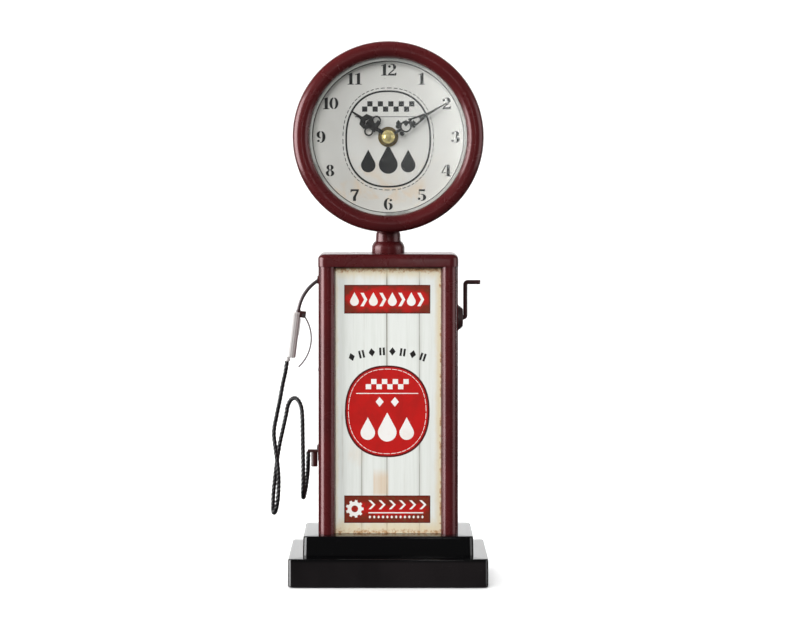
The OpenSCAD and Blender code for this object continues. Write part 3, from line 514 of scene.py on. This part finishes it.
def ink(name, colour, worn, gaps=0.7, scale=300, dirt=None):
    """Printed ink, thin in places where the ground shows, with grime round it."""
    f = Finish(name)
    wear = f.noise(scale, 5, 0.75, 0.3)
    blotch = f.noise(60, 4, 0.6)
    thin = wear.step(gaps, gaps + 0.06) * blotch.step(0.42, 0.62)
    base = f.mix(thin, colour, worn)
    if dirt is not None:
        base = f.mix(blotch.step(0.48, 0.76) * 0.55, base, dirt)
    return f.surface(Base_Color=base, Roughness=(0.45 + (wear - 0.5) * 0.2).clamped(),
                     Normal=f.bump(wear, 0.12, 0.03 * MM))


def sign_red(name, grime_at=None, height=0.0, soiled=0.0):
    """Sign red that goes brown towards the edges of its plate; soiled brings the brown further in."""
    f = Finish(name)
    wear = f.noise(330, 5, 0.75, 0.3)
    blotch = f.noise(70, 4, 0.65, 0.4)
    base = f.mix(blotch.step(0.35, 0.75), srgb(200, 24, 22), srgb(178, 26, 22))
    if grime_at is not None:
        off = abs(f.z - grime_at) / height
        cloud = f.noise(170, 4, 0.65, 0.4)
        grime = (off + (cloud - 0.5) * 0.9 + (abs(f.x) / (31 * MM)) ** 4 * 0.5 + soiled).step(0.26, 0.62)
        base = f.mix(grime * 0.85, base, srgb(104, 44, 26))
        green = (grime * wear).step(0.5, 0.66)
        base = f.mix(green * 0.5, base, srgb(92, 84, 50))
    thin = wear.step(0.68, 0.74) * blotch.step(0.5, 0.66)
    base = f.mix(thin * 0.6, base, srgb(222, 180, 160))
    return f.surface(Base_Color=base, Roughness=(0.38 + (wear - 0.5) * 0.15).clamped(),
                     Coat_Weight=0.2, Coat_Roughness=0.2, Normal=f.bump(wear, 0.1, 0.03 * MM))


def banded_cell():
    """A cell's printed sleeve: dark body with a copper-coloured band at the positive end."""
    f = Finish("cell_jacket")
    lo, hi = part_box("battery")
    along = (f.x - lo.x) / (hi.x - lo.x)
    band = along.step(0.68, 0.69)
    tip = along.step(0.965, 0.97)
    foil = f.noise(500, 3, 0.6)
    base = f.mix(band, srgb(28, 28, 30), srgb(176, 116, 48))
    base = f.mix(tip, base, srgb(190, 190, 192))
    return f.surface(Base_Color=base, Metallic=(band * 0.6 + tip * 0.4).clamped(),
                     Roughness=(0.24 + foil * 0.1).clamped(), Coat_Weight=0.5,
                     Normal=f.bump(foil, 0.08, 0.03 * MM))


def wound_copper():
    """Fine lacquered copper wire, wound in close turns along X."""
    f = Finish("copper_wire")
    turns = f.node("ShaderNodeTexWave", {"wave_type": "BANDS", "bands_direction": "X"},
                   {"Vector": f.place, "Scale": 1100.0, "Distortion": 0.4})
    return f.surface(Base_Color=f.mix(turns, srgb(120, 52, 24), srgb(196, 110, 62)), Metallic=0.8,
                     Roughness=0.35, Normal=f.bump(turns, 0.6, 0.08 * MM))


MAROON = srgb(80, 23, 25)
MAROON_DEEP = srgb(67, 20, 22)
FINISHES = {
    "maroon_paint": enamel("maroon_paint", MAROON, MAROON_DEEP, 0.27, 0.1, srgb(46, 19, 19),
                           sheen_tint=(1.0, 0.7, 0.72, 1)),
    "gloss_black_paint": gloss_black(),
    "dark_red_paint": enamel("dark_red_paint", srgb(64, 22, 22), srgb(40, 18, 18), 0.4, 0.2,
                             srgb(28, 16, 15)),
    "printed_tin": printed_planks(),
    "dial_print": dial_paper(),
    "lens_glass": lens_glass(),
    "silver_cast": ribbed_cast(),
    "zinc_steel": metal("zinc_steel", srgb(196, 197, 200), 0.3, srgb(142, 142, 140), 0.5),
    "brass": metal("brass", srgb(238, 220, 152), 0.16, srgb(186, 156, 84), 0.35, bare=0.6),
    "black_enamel": enamel("black_enamel", srgb(14, 13, 14), srgb(22, 20, 21), 0.4, 0.1,
                           round_edges=0.08 * MM),
    "black_plastic": moulded("black_plastic", srgb(24, 24, 25), 0.48),
    "pale_plastic": moulded("pale_plastic", srgb(206, 206, 202), 0.35, speckle=srgb(188, 188, 182)),
    "cell_jacket": banded_cell(),
    "copper_wire": wound_copper(),
    "board_green": moulded("board_green", srgb(20, 84, 48), 0.4),
    "magnet": metal("magnet", srgb(92, 92, 96), 0.4, srgb(60, 58, 58), 0.5),
    "hose_rubber": hose_rubber(),
    "felt": felt(),
}
dull_brass = metal("brass_dull", srgb(132, 112, 66), 0.34, srgb(84, 66, 40), 0.6, bare=0.7)
lever_steel = metal("steel_pale", srgb(146, 134, 136), 0.3, srgb(104, 88, 90), 0.4, bare=0.6)
dark_steel = metal("steel_dark", srgb(96, 88, 90), 0.34, srgb(58, 48, 50), 0.5, bare=0.7)
NODE_FINISH = {"mounting_nut": dull_brass, "mounting_washer": dull_brass,
               "trigger_lever": lever_steel, "nozzle_spout": dark_steel, "lever_pin": dark_steel}
SLOT_OF = {s["node"]: s["material_slot"] for s in frame["record"]["subparts"]}
for node_name, cad_piece in NODES.items():
    cad_piece.data.materials.clear()
    cad_piece.data.materials.append(NODE_FINISH.get(node_name, FINISHES[SLOT_OF[node_name]]))

twisted_hose("twisted_hose", FINISHES["hose_rubber"])


# ---------------------------------------------------------------- pressed pans
CORNER_STEPS = 10


def rounded_ring(w, d, r, z, cx, cy):
    """Points of a rectangle with round corners at height z."""
    r = max(r, 0.02 * MM)
    pts = []
    for sx, sy, start in ((1, 1, 0), (-1, 1, 90), (-1, -1, 180), (1, -1, 270)):
        for k in range(CORNER_STEPS + 1):
            a = math.radians(start + 90 * k / CORNER_STEPS)
            pts.append(Vector((cx + sx * (w / 2 - r) + r * math.cos(a),
                               cy + sy * (d / 2 - r) + r * math.sin(a), z)))
    return pts


def pressed_pan(name, node, corner, edge, wall, slot, draft=0.0, foot=0.0):
    """A drawn sheet pan: the outside with its rolled edge, and the hollow inside."""
    lo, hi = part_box(node)
    w, d, cx, cy = hi.x - lo.x, hi.y - lo.y, (lo.x + hi.x) / 2, (lo.y + hi.y) / 2
    top, base = hi.z, lo.z
    rings = []

    def ring(inset, z, r):
        rings.append(rounded_ring(w - 2 * inset, d - 2 * inset, r, z, cx, cy))

    ring(w * 0.3, top - wall, 0.1 * MM)
    inner_edge = max(edge - wall, 0.3 * MM)
    for k in range(5):
        a = math.radians(90 - 90 * k / 4)
        ring(draft + wall + inner_edge * (1 - math.cos(a)), top - wall - inner_edge * (1 - math.sin(a)),
             max(corner - wall - inner_edge * (1 - math.cos(a)), 0.3 * MM))
    ring(wall, base + 0.1 * MM, corner - wall + 0.2 * MM)
    ring(wall - 0.1 * MM, base, corner - wall + 0.2 * MM)
    ring(foot, base, corner)
    ring(0.0, base + foot, corner)
    for k in range(9):
        a = math.radians(90 * k / 8)
        ring(draft + edge * (1 - math.cos(a)), top - edge * (1 - math.sin(a)),
             max(corner - edge * (1 - math.cos(a)), 0.3 * MM))
    ring(w * 0.3, top, 0.1 * MM)
    piece = new_piece(name, *loft(rings), finish=FINISHES[slot], smooth=40)
    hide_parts(node)
    return piece


pressed_pan("plinth_pan_drawn", "plinth_pan", 3 * MM, 0.9 * MM, 1.2 * MM, "gloss_black_paint", foot=0.5 * MM)
pressed_pan("step_pan_drawn", "step_pan", 4 * MM, 1.2 * MM, 1.2 * MM, "gloss_black_paint", draft=0.3 * MM)
pressed_pan("top_cap_drawn", "top_cap", 5.6 * MM, 3.4 * MM, 1.0 * MM, "maroon_paint")


# ---------------------------------------------------------------- printed marks
PRINT_T = 0.04 * MM


def turned(loop, angle=0.0, at=(0, 0)):
    """A flat loop turned clockwise by angle in degrees and moved."""
    c, s = math.cos(math.radians(-angle)), math.sin(math.radians(-angle))
    return [(at[0] + c * x - s * y, at[1] + s * x + c * y) for x, y in loop]


def marks(name, shapes, face_y, finish, slot):
    """Flat printed shapes on a face that looks to -Y: each is a loop, or a loop with its holes, in metres."""
    verts, faces = [], []
    for shape in shapes:
        loops = [shape] if isinstance(shape[0][0], (int, float)) else shape
        flat = [Vector((x, z, 0)) for loop in loops for x, z in loop]
        start = len(verts)
        for v in flat:
            verts.append((v.x, face_y - PRINT_T, v.y))
        for v in flat:
            verts.append((v.x, face_y + 0.01 * MM, v.y))
        for t in tessellate_polygon([[Vector((x, z, 0)) for x, z in loop] for loop in loops]):
            faces.append([start + i for i in t])
        at = start
        for loop in loops:
            n = len(loop)
            for k in range(n):
                j = (k + 1) % n
                faces.append((at + k, at + j, at + j + len(flat), at + k + len(flat)))
            at += n
    mesh = bpy.data.meshes.new(name)
    mesh.from_pydata(verts, [], [tuple(f) for f in faces])
    mesh.materials.append(finish)
    for f in mesh.polygons:
        if abs(f.normal.y) > 0.5 and f.normal.y > 0:
            f.flip()
    piece = bpy.data.objects.new(name, mesh)
    bpy.context.scene.collection.objects.link(piece)
    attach(piece, "root")
    return piece


def arc_pts(cx, cy, rx, ry, a0, a1, count=18):
    return [(cx + rx * math.cos(math.radians(a0 + (a1 - a0) * k / count)),
             cy + ry * math.sin(math.radians(a0 + (a1 - a0) * k / count))) for k in range(count + 1)]


HAIRLINE = 0.06


def bowl(cx, cy, rx, ry, inner_x, a0, a1):
    """A stroke round part of an ellipse: heavy at its side, a hairline at top and foot."""
    return arc_pts(cx, cy, rx, ry, a0, a1) + arc_pts(cx, cy, inner_x, ry - HAIRLINE, a1, a0)


def dot(cx, cy, r):
    return arc_pts(cx, cy, r, r, 0, 345, 23)


def box_loop(x0, y0, x1, y1):
    return [(x0, y0), (x1, y0), (x1, y1), (x0, y1)]


def upside_down(loops):
    return [[(-x, 1 - y) for x, y in loop] for loop in loops]


ONE = [[(-0.25, 0), (0.25, 0), (0.25, 0.04), (0.12, 0.08), (0.12, 1), (0.05, 1), (-0.25, 0.86),
        (-0.25, 0.81), (-0.11, 0.85), (-0.11, 0.08), (-0.25, 0.04)]]
SIX = [bowl(0, 0.5, 0.33, 0.5, 0.1, 72, 262), bowl(0.02, 0.31, 0.31, 0.31, 0.09, -84, 96),
       dot(0.19, 0.84, 0.095)]
DIGITS = {
    "0": [bowl(0, 0.5, 0.33, 0.5, 0.12, 97, 263), bowl(0, 0.5, 0.33, 0.5, 0.12, -83, 83)],
    "1": ONE,
    "2": [bowl(0, 0.72, 0.3, 0.28, 0.08, -38, 120), dot(-0.19, 0.77, 0.1),
          [(0.23, 0.53), (0.08, 0.53), (-0.3, 0.12), (-0.3, 0.05), (-0.2, 0.1)],
          [(-0.3, 0), (0.3, 0), (0.33, 0.25), (0.28, 0.25), (0.2, 0.17), (-0.12, 0.15), (-0.3, 0.04)]],
    "3": [bowl(0, 0.76, 0.27, 0.24, 0.06, -78, 112), bowl(0, 0.27, 0.31, 0.27, 0.08, -112, 82),
          dot(-0.19, 0.82, 0.09), dot(-0.21, 0.17, 0.1)],
    "4": [[(0.02, 0.08), (-0.1, 0.04), (-0.1, 0), (0.34, 0), (0.34, 0.04), (0.24, 0.08), (0.24, 1),
           (0.02, 1)],
          [(-0.05, 1), (-0.36, 0.34), (-0.36, 0.27), (-0.02, 0.27), (-0.02, 0.33), (-0.28, 0.33),
           (-0.02, 0.88)],
          box_loop(0.27, 0.27, 0.37, 0.33)],
    "5": [[(-0.22, 1), (-0.22, 0.5), (-0.17, 0.54), (-0.17, 0.84), (0.22, 0.82), (0.26, 1)],
          bowl(0, 0.31, 0.32, 0.3, 0.09, -108, 112), dot(-0.2, 0.19, 0.1)],
    "6": SIX,
    "7": [[(-0.3, 1), (-0.3, 0.72), (-0.26, 0.72), (-0.2, 0.83), (0.14, 0.84), (-0.12, 0.32), (-0.12, 0),
           (0.1, 0), (0.1, 0.34), (0.31, 0.86), (0.31, 1)]],
    "8": [bowl(0, 0.76, 0.26, 0.24, 0.07, 98, 262), bowl(0, 0.76, 0.26, 0.24, 0.07, -82, 82),
          bowl(0, 0.27, 0.31, 0.27, 0.1, 98, 262), bowl(0, 0.27, 0.31, 0.27, 0.1, -82, 82)],
    "9": upside_down(SIX),
}


def cog(cx, cy, r, teeth=10, hole=0.42):
    """A cog wheel with a round hole."""
    rim = []
    for i in range(teeth):
        for a, share in ((-0.3, 0.8), (-0.2, 1.0), (0.2, 1.0), (0.3, 0.8)):
            t = 2 * math.pi * (i + a) / teeth
            rim.append((cx + r * share * math.cos(t), cy + r * share * math.sin(t)))
    return [rim, dot(cx, cy, r * hole)]


def drop(cx, cy, h):
    """A falling drop, h high."""
    r = 0.32 * h
    low = cy - h / 2 + r
    return [(cx, cy + h / 2)] + [(cx + r * math.cos(math.radians(a)), low + r * math.sin(math.radians(a)))
                                 for a in range(28, -209, -12)]


def chevron(cx, cy, w, h, thick):
    return [(cx - w / 2, cy + h / 2), (cx - w / 2 + thick, cy + h / 2), (cx + w / 2, cy),
            (cx - w / 2 + thick, cy - h / 2), (cx - w / 2, cy - h / 2), (cx + w / 2 - thick, cy)]


def chequers(cx, cy, w, h, columns):
    """Two rows of squares, every other one filled."""
    rows = 2
    cell_w, cell_h = w / columns, h / rows
    out = []
    for i in range(columns):
        for k in range(rows):
            if (i + k) % 2 == 0:
                x0, y0 = cx - w / 2 + i * cell_w, cy - h / 2 + k * cell_h
                out.append(box_loop(x0, y0, x0 + cell_w, y0 + cell_h))
    return out


def oval(cx, cy, rx, ry, grow=0.0, power=2.3, count=96):
    """A full oval, a little squarer than an ellipse."""
    out = []
    for k in range(count):
        a = 2 * math.pi * k / count
        c, s = math.cos(a), math.sin(a)
        out.append((cx + (rx + grow) * math.copysign(abs(c) ** (2 / power), c),
                    cy + (ry + grow) * math.copysign(abs(s) ** (2 / power), s)))
    return out


def oval_line(cx, cy, rx, ry, inset, width):
    return [oval(cx, cy, rx, ry, -inset), oval(cx, cy, rx, ry, -inset - width)]


def oval_dashes(cx, cy, rx, ry, inset, width, dashes, share=0.62):
    """A dashed line inside an oval."""
    outer = oval(cx, cy, rx, ry, -inset, count=dashes * 6)
    inner = oval(cx, cy, rx, ry, -inset - width, count=dashes * 6)
    run = round(6 * share)
    return [outer[i * 6:i * 6 + run + 1] + inner[i * 6:i * 6 + run + 1][::-1] for i in range(dashes)]


def millimetres(shapes, cx=0.0, cz=0.0):
    """Shapes given in millimetres from a centre, in metres."""
    def conv(loop):
        return [(cx + x * MM, cz + z * MM) for x, z in loop]
    return [conv(s) if isinstance(s[0][0], (int, float)) else [conv(l) for l in s] for s in shapes]


NUMERAL_R = 42.4
NUMERAL_H = 7.4
NUMERAL_W = 8.6
DIGIT_STEP = 0.56
SIGN_HALF_W = 27.0
SIGN_RIM = 0.7
ARC_R = 71.5
ARC_TOP = 144.9


def lozenge(w, h):
    return [(0, h / 2), (w / 2, 0), (0, -h / 2), (-w / 2, 0)]


def diamond(x, z, h):
    """An upright lozenge of height h."""
    return turned(lozenge(0.8 * h, h), at=(x, z))


def ring_line(r, width):
    """A full thin ring of outer radius r."""
    turns = [2 * math.pi * k / 120 for k in range(120)]
    return [[(q * math.cos(a), q * math.sin(a)) for a in turns] for q in (r, r - width)]


def dial_marks():
    """The dial's numerals, its centre emblem, and a painted shade line round the dial's edge."""
    digits = []
    for hour in range(1, 13):
        a = math.radians(30 * hour)
        text = str(hour)
        for k, ch in enumerate(text):
            shift = (k - (len(text) - 1) / 2) * DIGIT_STEP
            for loop in DIGITS[ch]:
                digits.append([(NUMERAL_R * math.sin(a) + (x + shift) * NUMERAL_W,
                                NUMERAL_R * math.cos(a) + (y - 0.5) * NUMERAL_H) for x, y in loop])
    frame_oval = (0, -1.3, 28.8, 32.4)
    emblem = [oval_line(*frame_oval, 1.7, 1.15)] + oval_dashes(*frame_oval, 0.0, 0.45, 58, 0.7)
    emblem += chequers(0, 19.2, 33.0, 6.6, 10)
    emblem += [box_loop(-21, 12.5, 21, 12.9)]
    emblem += [diamond(x, 8.6, 4.4) for x in (-16, -11.2, -6.4, 6.4, 11.2, 16)]
    emblem += [drop(0, -14.0, 18.6), drop(-12.6, -15.2, 14.4), drop(12.6, -15.2, 14.4)]
    # Painted shade: a thin dark ring round the dial's edge, standing in for the shade at the spacer ring's
    # inner edge.
    emblem += [ring_line(47.9, 0.45)]
    face = DIAL_LO.y
    shapes = millimetres(digits, DIAL_C.x, DIAL_C.z)
    marks("dial_numerals", shapes, face,
          ink("numeral_ink", srgb(30, 28, 30), srgb(170, 166, 162), 0.66), "dial_print")
    marks("dial_emblem_and_painted_shade_ring", millimetres(emblem, DIAL_C.x, DIAL_C.z), face,
          ink("emblem_and_shade_ring_ink", srgb(32, 31, 33), srgb(150, 147, 145), 0.64, 420), "dial_print")


def panel_marks():
    """The front panel's two signs, its arc of marks and its oval badge."""
    face = PANEL_LO.y
    foot = PANEL_LO.z / MM

    def place(shapes):
        return millimetres(shapes, -0.6 * MM, PANEL_LO.z)

    def up(z):
        return z - foot

    white = ink("sign_white", srgb(250, 248, 244), srgb(214, 120, 104), 0.72, 420, srgb(240, 224, 212))
    dark = ink("sign_border", srgb(96, 26, 24), srgb(120, 74, 50), 0.6)
    black = ink("small_black", srgb(34, 32, 32), srgb(150, 146, 140), 0.7, 420)

    def sign(name, z0, z1, shapes, soiled):
        red = sign_red(name + "_red", (z0 + z1) / 2 * MM, (z1 - z0) * MM, soiled)
        w, inner_w = SIGN_HALF_W, SIGN_HALF_W - SIGN_RIM
        marks(name + "_edge", place([box_loop(-w, up(z0), w, up(z1))]), face, dark, "printed_tin")
        marks(name + "_field", place([box_loop(-inner_w, up(z0) + SIGN_RIM, inner_w, up(z1) - SIGN_RIM)]),
              face - PRINT_T, red, "printed_tin")
        marks(name + "_marks", place(shapes), face - 2 * PRINT_T, white, "printed_tin")

    row = []
    for k in range(8):
        x = -20.6 + 5.95 * k
        if k % 2 == 0:
            row.append(drop(x, up(177.7), 8.6))
        else:
            row.append(chevron(x, up(177.4), 4.3, 8.4, 2.0))
    sign("upper_sign", 168.6, 186.6, row, 0.08)

    row = [cog(-20.4, up(46.0), 5.6, 9, 0.38)]
    row += [chevron(-9.6 + 6.4 * k, up(48.6), 4.4, 5.6, 1.6) for k in range(6)]
    row += [box_loop(-11.8, up(43.2), 22.6, up(43.9))]
    row += [turned(lozenge(1.7, 2.1), at=(-10.9 + 2.75 * k, up(40.9))) for k in range(13)]
    sign("lower_sign", 37.2, 54.4, row, 0.24)

    arc = []
    for k in range(8):
        a = -18.2 + 5.2 * k
        at = (ARC_R * math.sin(math.radians(a)), up(ARC_TOP) - ARC_R * (1 - math.cos(math.radians(a))))
        if k % 2 == 0:
            arc.append(turned(lozenge(4.0, 5.2), angle=a, at=at))
        else:
            for half in (-1.1, 1.1):
                arc.append(turned(box_loop(half - 0.65, -2.4, half + 0.65, 2.4), angle=a, at=at))
    marks("arc_marks", place(arc), face, black, "printed_tin")

    badge = (0, up(107.2), 26.6, 28.8)
    marks("badge_edge", place([oval(*badge)]), face,
          ink("badge_border", srgb(86, 18, 20), srgb(120, 50, 44), 0.66), "printed_tin")
    marks("badge_field", place([oval(*badge, grow=-1.1)]), face - PRINT_T, sign_red("badge_red"),
          "printed_tin")
    inner = oval_dashes(*badge, 2.1, 0.34, 46, 0.8)
    inner += chequers(0, up(124.3), 27.0, 6.4, 8)
    inner += [box_loop(-19.5, up(118.2), 19.5, up(118.75))]
    inner += [diamond(x, up(113.2), 6.2) for x in (-4.8, 4.8)]
    inner += [drop(0, up(97.4), 18.2), drop(-12.2, up(96.4), 14.2), drop(12.2, up(96.4), 14.2)]
    marks("badge_marks", place(inner), face - 2 * PRINT_T, white, "printed_tin")


dial_marks()
panel_marks()


# ---------------------------------------------------------------- floor and light
def flat_finish(name, colour, rough):
    f = Finish(name)
    cloud = f.noise(3, 2)
    return f.surface(Base_Color=f.mix(cloud, colour, tuple(c * 0.985 for c in colour[:3]) + (1,)),
                     Roughness=rough)


def stage_piece(name, line, finish, seen_by_paint):
    """A wide sheet through a line of (y, z) points; paint and metal mirror it only when seen_by_paint."""
    half = 3.0
    mesh = bpy.data.meshes.new(name)
    mesh.from_pydata([(x, y, z) for y, z in line for x in (-half, half)], [],
                     [(2 * i, 2 * i + 1, 2 * i + 3, 2 * i + 2) for i in range(len(line) - 1)])
    mesh.shade_smooth()
    mesh.materials.append(finish)
    sheet = bpy.data.objects.new(name, mesh)
    bpy.context.scene.collection.objects.link(sheet)
    sheet.visible_glossy = sheet.visible_diffuse = seen_by_paint


def sweep_floor():
    """A pale floor that meets a backdrop curving up behind it."""
    white = flat_finish("floor_white", srgb(250, 250, 250), 0.6)
    front, back, rise, bend = -2.6, 2.2, 2.6, 0.8
    stage_piece("floor", [(front, 0.0), (back - bend, 0.0)], white, False)
    curve = [(back - bend + bend * math.sin(math.radians(90 * k / 16)),
              bend - bend * math.cos(math.radians(90 * k / 16))) for k in range(17)]
    stage_piece("backdrop", curve + [(back, rise)], white, True)


def softbox(name, at, aim, size, bright, mirrored=True):
    """A rectangular soft light; bright is its radiance, and mirrored lets glossy surfaces show it."""
    light = bpy.data.objects.new(name, bpy.data.lights.new(name, "AREA"))
    light.data.shape = "RECTANGLE"
    light.data.size, light.data.size_y = size
    light.data.energy = bright * math.pi * size[0] * size[1]
    light.location = at
    light.rotation_euler = (Vector(aim) - Vector(at)).to_track_quat("-Z", "Y").to_euler()
    light.visible_glossy = mirrored
    bpy.context.scene.collection.objects.link(light)


WORLD_GLOW = 0.075


def studio_light():
    """A large bright wall at the left, a weak one at the right, and fills that the paint doesn't mirror."""
    world = bpy.data.worlds.new("studio")
    bpy.context.scene.world = world
    world.use_nodes = True
    world.node_tree.nodes["Background"].inputs["Color"].default_value = (1, 1, 1, 1)
    world.node_tree.nodes["Background"].inputs["Strength"].default_value = WORLD_GLOW
    softbox("left_wall", (-1.5, -0.3, 0.35), (0, 0, 0.2), (1.3, 1.3), 8.0)
    softbox("right_wall", (1.6, -0.35, 0.35), (0, 0, 0.2), (1.2, 1.2), 1.6)
    softbox("front_fill", (-0.45, -1.9, 0.95), (0, 0, 0.2), (1.4, 1.1), 6.5, mirrored=False)
    softbox("overhead", (0, 0.3, 2.2), (0, 0.3, 0), (2.2, 2.2), 3.0, mirrored=False)
    softbox("backdrop_wash", (0, 0.9, 2.3), (0, 2.2, 0.6), (3.0, 0.6), 4.2, mirrored=False)
    softbox("side_card", (0.122, -1.7, 0.345), (0.05, 0, 0.29), (0.1, 0.16), 7.5)


sweep_floor()
studio_light()

bpy.context.view_layer.update()
